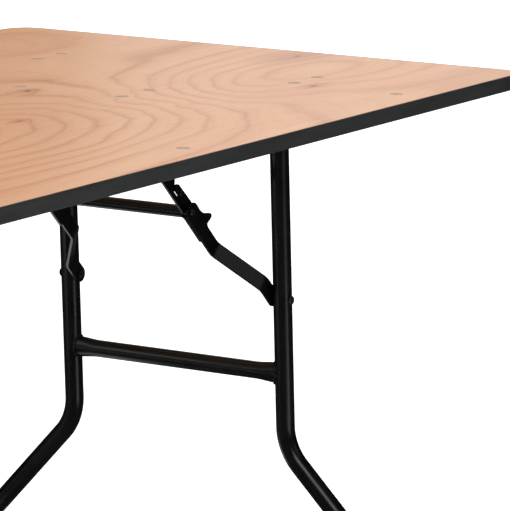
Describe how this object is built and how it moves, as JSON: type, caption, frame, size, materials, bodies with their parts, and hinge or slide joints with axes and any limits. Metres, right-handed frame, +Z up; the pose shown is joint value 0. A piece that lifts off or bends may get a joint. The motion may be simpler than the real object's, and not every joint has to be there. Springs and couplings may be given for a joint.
{
  "type": "folding table",
  "caption": "Long rectangular folding table with a plywood top, a T-moulded edge, wishbone steel leg frames and jointed folding braces with lock levers.",
  "frame": {"origin": "on the floor, under the middle of the top", "axes": "+X along the table's length towards end a, +Y across its width, +Z up; right is the -Y side of end a, and end b is end a turned half round"},
  "size_m": [2.438, 0.762, 0.762],
  "materials": {
    "plywood": "clear-coated rotary-cut veneer",
    "moulding": "satin dark charcoal vinyl",
    "powder_coat": "semi-gloss black powder coat",
    "foot_plastic": "matt black plastic",
    "black_steel": "semi-gloss black painted steel"
  },
  "bodies": {
    "table": {"tabletop": "plywood", "edge_moulding": "moulding", "side_rail_right": "powder_coat", "side_rail_left": "powder_coat", "leg_bracket_right_a": "powder_coat", "leg_pin_right_a": "black_steel", "brace_bracket_right_a": "powder_coat", "brace_pin_right_a": "black_steel", "leg_bracket_left_a": "powder_coat", "leg_pin_left_a": "black_steel", "brace_bracket_left_a": "powder_coat", "brace_pin_left_a": "black_steel", "leg_bracket_right_b": "powder_coat", "leg_pin_right_b": "black_steel", "brace_bracket_right_b": "powder_coat", "brace_pin_right_b": "black_steel", "leg_bracket_left_b": "powder_coat", "leg_pin_left_b": "black_steel", "brace_bracket_left_b": "powder_coat", "brace_pin_left_b": "black_steel"},
    "legs_a": {"leg_tube_right_a": "powder_coat", "leg_tube_left_a": "powder_coat", "leg_crossbar_a": "powder_coat", "foot_cap_right_a": "foot_plastic", "foot_cap_left_a": "foot_plastic", "leg_rivet_right_a": "black_steel", "leg_rivet_left_a": "black_steel"},
    "upper_brace_a": {"upper_bar_right_a": "powder_coat", "upper_bar_left_a": "powder_coat", "knuckle_tube_a": "powder_coat"},
    "lower_brace_a": {"lower_bar_right_a": "powder_coat", "lower_bar_left_a": "powder_coat", "bar_rivet_right_a": "black_steel", "bar_rivet_left_a": "black_steel", "knuckle_rivet_right_a": "black_steel", "knuckle_rivet_left_a": "black_steel"},
    "lever_right_a": {"lock_lever_right_a": "powder_coat"},
    "lever_left_a": {"lock_lever_left_a": "powder_coat"},
    "legs_b": {"leg_tube_right_b": "powder_coat", "leg_tube_left_b": "powder_coat", "leg_crossbar_b": "powder_coat", "foot_cap_right_b": "foot_plastic", "foot_cap_left_b": "foot_plastic", "leg_rivet_right_b": "black_steel", "leg_rivet_left_b": "black_steel"},
    "upper_brace_b": {"upper_bar_right_b": "powder_coat", "upper_bar_left_b": "powder_coat", "knuckle_tube_b": "powder_coat"},
    "lower_brace_b": {"lower_bar_right_b": "powder_coat", "lower_bar_left_b": "powder_coat", "bar_rivet_right_b": "black_steel", "bar_rivet_left_b": "black_steel", "knuckle_rivet_right_b": "black_steel", "knuckle_rivet_left_b": "black_steel"},
    "lever_right_b": {"lock_lever_right_b": "powder_coat"},
    "lever_left_b": {"lock_lever_left_b": "powder_coat"}
  },
  "joints": [
    {"name": "leg_fold_a", "type": "hinge", "parent": "table", "child": "legs_a", "pos_m": [1.00048, 0, 0.727], "axis": [0, 1, 0], "range_deg": [0, 92.59]},
    {"name": "upper_brace_fold_a", "type": "hinge", "parent": "table", "child": "upper_brace_a", "pos_m": [0.771, 0, 0.727], "axis": [0, 1, 0], "range_deg": [-44.68, 0]},
    {"name": "lower_brace_fold_a", "type": "hinge", "parent": "upper_brace_a", "child": "lower_brace_a", "pos_m": [0.88817, 0, 0.61115], "axis": [0, 1, 0], "range_deg": [0, 180.01]},
    {"name": "lever_press_right_a", "type": "hinge", "parent": "lower_brace_a", "child": "lever_right_a", "pos_m": [0.88817, -0.1048, 0.61115], "axis": [0, 1, 0], "range_deg": [0, 5], "stiffness_Nm_per_rad": 0.1, "springref_deg": -28.65},
    {"name": "lever_press_left_a", "type": "hinge", "parent": "lower_brace_a", "child": "lever_left_a", "pos_m": [0.88817, 0.1048, 0.61115], "axis": [0, 1, 0], "range_deg": [0, 5], "stiffness_Nm_per_rad": 0.1, "springref_deg": -28.65},
    {"name": "leg_fold_b", "type": "hinge", "parent": "table", "child": "legs_b", "pos_m": [-1.00048, 0, 0.727], "axis": [0, -1, 0], "range_deg": [0, 92.59]},
    {"name": "upper_brace_fold_b", "type": "hinge", "parent": "table", "child": "upper_brace_b", "pos_m": [-0.771, 0, 0.727], "axis": [0, -1, 0], "range_deg": [-44.68, 0]},
    {"name": "lower_brace_fold_b", "type": "hinge", "parent": "upper_brace_b", "child": "lower_brace_b", "pos_m": [-0.88817, 0, 0.61115], "axis": [0, -1, 0], "range_deg": [0, 180.01]},
    {"name": "lever_press_right_b", "type": "hinge", "parent": "lower_brace_b", "child": "lever_right_b", "pos_m": [-0.88817, 0.1048, 0.61115], "axis": [0, -1, 0], "range_deg": [0, 5], "stiffness_Nm_per_rad": 0.1, "springref_deg": -28.65},
    {"name": "lever_press_left_b", "type": "hinge", "parent": "lower_brace_b", "child": "lever_left_b", "pos_m": [-0.88817, -0.1048, 0.61115], "axis": [0, -1, 0], "range_deg": [0, 5], "stiffness_Nm_per_rad": 0.1, "springref_deg": -28.65}
  ],
  "couplings": [
    {"joint": "upper_brace_fold_a", "follows": "leg_fold_a", "ratio": -0.48251},
    {"joint": "lower_brace_fold_a", "follows": "leg_fold_a", "ratio": 1.9441},
    {"joint": "upper_brace_fold_b", "follows": "leg_fold_b", "ratio": -0.48251},
    {"joint": "lower_brace_fold_b", "follows": "leg_fold_b", "ratio": 1.9441}
  ]
}
